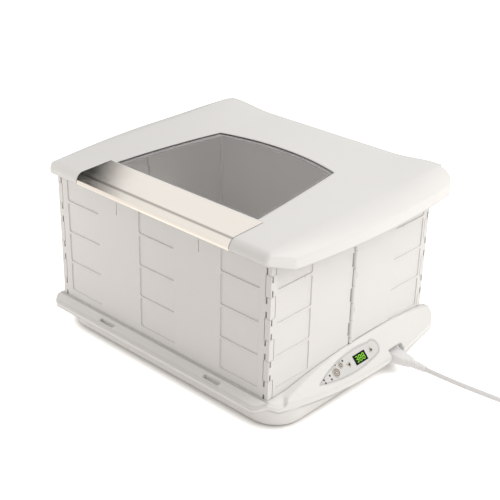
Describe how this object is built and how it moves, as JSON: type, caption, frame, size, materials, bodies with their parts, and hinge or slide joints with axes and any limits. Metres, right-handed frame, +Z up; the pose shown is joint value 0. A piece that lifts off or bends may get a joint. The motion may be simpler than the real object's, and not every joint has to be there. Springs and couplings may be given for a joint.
{
  "type": "folding dough proofer",
  "caption": "Folding heated dough proofer with a low base, control panel, hinged fold-flat walls, a lift-off lid with a window, wire rack, water tray and mains cord.",
  "frame": {"origin": "centre of the footprint, on the surface that the feet stand on", "axes": "+X towards the control panel side, +Y towards the rear, +Z up"},
  "size_m": [0.7539, 0.5244, 0.2658],
  "materials": {
    "white_plastic": "smooth",
    "wall_plastic": "fine texture",
    "brushed_steel": "brushed",
    "smoked_pane": "clear",
    "dark_rubber": "matte",
    "overlay_film": "satin",
    "display_black": "gloss",
    "green_light": "lit",
    "key_grey": "satin",
    "steel": "polished",
    "heater_aluminium": "anodised",
    "insulation": "fibrous",
    "board_green": "solder mask",
    "black_plastic": "satin",
    "cord_white": "satin",
    "brass": "bright"
  },
  "bodies": {
    "base": {"base_shell": "white_plastic", "base_pan": "wall_plastic", "rubber_feet": "dark_rubber", "base_screws": "steel", "heater_plate": "heater_aluminium", "heating_element": "black_plastic", "insulation_pad": "insulation", "temperature_sensor": "black_plastic", "thermal_cutoff": "black_plastic", "control_overlay": "overlay_film", "display_lens": "display_black", "display_digits": "green_light", "indicator_lamps": "key_grey", "control_board": "board_green", "tact_switches": "black_plastic", "power_board": "board_green", "power_inlet": "black_plastic", "inlet_prongs": "brass"},
    "rear_wall_set": {"rear_wall": "wall_plastic", "rear_corner_pins": "steel"},
    "left_rear": {"left_rear_panel": "wall_plastic", "left_centre_pin": "steel"},
    "left_front": {"left_front_panel": "wall_plastic"},
    "front_wall_set": {"front_wall": "wall_plastic", "front_corner_pins": "steel"},
    "right_rear": {"right_rear_panel": "wall_plastic", "right_centre_pin": "steel"},
    "right_front": {"right_front_panel": "wall_plastic"},
    "lid": {"lid_shell": "white_plastic", "lid_trim_plate": "brushed_steel", "window_gasket": "dark_rubber", "lid_window": "smoked_pane", "window_frame": "wall_plastic", "window_screws": "steel"},
    "rack": {"wire_rack": "steel", "rack_legs": "steel"},
    "tray": {"water_tray": "heater_aluminium"},
    "power_key": {"power_button": "key_grey"},
    "light_key": {"light_button": "key_grey"},
    "up_key": {"up_button": "key_grey"},
    "down_key": {"down_button": "key_grey"},
    "connector": {"cord_connector": "cord_white", "cord_strain_relief": "cord_white", "power_cord": "cord_white", "cord_coil": "cord_white", "coil_tie": "black_plastic", "plug_lead": "cord_white", "mains_plug": "cord_white", "plug_blades": "brass"}
  },
  "joints": [
    {"name": "wall_set_lifts_off", "type": "slide", "parent": "base", "child": "rear_wall_set", "axis": [0, 0, 1], "range_m": [0, 0.06]},
    {"name": "left_rear_corner_hinge", "type": "hinge", "parent": "rear_wall_set", "child": "left_rear", "pos_m": [-0.1917, 0.1567, 0.15], "axis": [0, 0, 1], "range_deg": [0, 90]},
    {"name": "left_centre_hinge", "type": "hinge", "parent": "left_rear", "child": "left_front", "pos_m": [-0.1978, 0, 0.15], "axis": [0, 0, 1], "range_deg": [-180, 0]},
    {"name": "left_front_corner_hinge", "type": "hinge", "parent": "left_front", "child": "front_wall_set", "pos_m": [-0.1917, -0.1567, 0.15], "axis": [0, 0, 1], "range_deg": [0, 90]},
    {"name": "right_rear_corner_hinge", "type": "hinge", "parent": "rear_wall_set", "child": "right_rear", "pos_m": [0.1917, 0.1567, 0.15], "axis": [0, 0, 1], "range_deg": [-90, 0]},
    {"name": "right_centre_hinge", "type": "hinge", "parent": "right_rear", "child": "right_front", "pos_m": [0.1978, 0, 0.15], "axis": [0, 0, 1], "range_deg": [0, 180]},
    {"name": "lid_lifts_off", "type": "slide", "parent": "rear_wall_set", "child": "lid", "axis": [0, 0, 1], "range_m": [0, 0.12]},
    {"name": "rack_lifts_out", "type": "slide", "parent": "base", "child": "rack", "axis": [0, 0, 1], "range_m": [0, 0.15]},
    {"name": "tray_lifts_out", "type": "slide", "parent": "base", "child": "tray", "axis": [0, 0, 1], "range_m": [0, 0.075]},
    {"name": "connector_pulls_out", "type": "slide", "parent": "base", "child": "connector", "axis": [1, 0, 0], "range_m": [0, 0.03]},
    {"name": "power_key_press", "type": "slide", "parent": "base", "child": "power_key", "axis": [-0.7471, 0, -0.6648], "range_m": [0, 0.0008], "stiffness_N_per_m": 300},
    {"name": "light_key_press", "type": "slide", "parent": "base", "child": "light_key", "axis": [-0.7471, 0, -0.6648], "range_m": [0, 0.0008], "stiffness_N_per_m": 300},
    {"name": "up_key_press", "type": "slide", "parent": "base", "child": "up_key", "axis": [-0.7471, 0, -0.6648], "range_m": [0, 0.0008], "stiffness_N_per_m": 300},
    {"name": "down_key_press", "type": "slide", "parent": "base", "child": "down_key", "axis": [-0.7471, 0, -0.6648], "range_m": [0, 0.0008], "stiffness_N_per_m": 300}
  ],
  "couplings": [
    {"joint": "left_centre_hinge", "follows": "left_rear_corner_hinge", "ratio": -2},
    {"joint": "left_front_corner_hinge", "follows": "left_rear_corner_hinge", "ratio": 1},
    {"joint": "right_rear_corner_hinge", "follows": "left_rear_corner_hinge", "ratio": -1},
    {"joint": "right_centre_hinge", "follows": "left_rear_corner_hinge", "ratio": 2},
    {"joint": "tray_lifts_out", "follows": "rack_lifts_out", "ratio": 0.5}
  ]
}
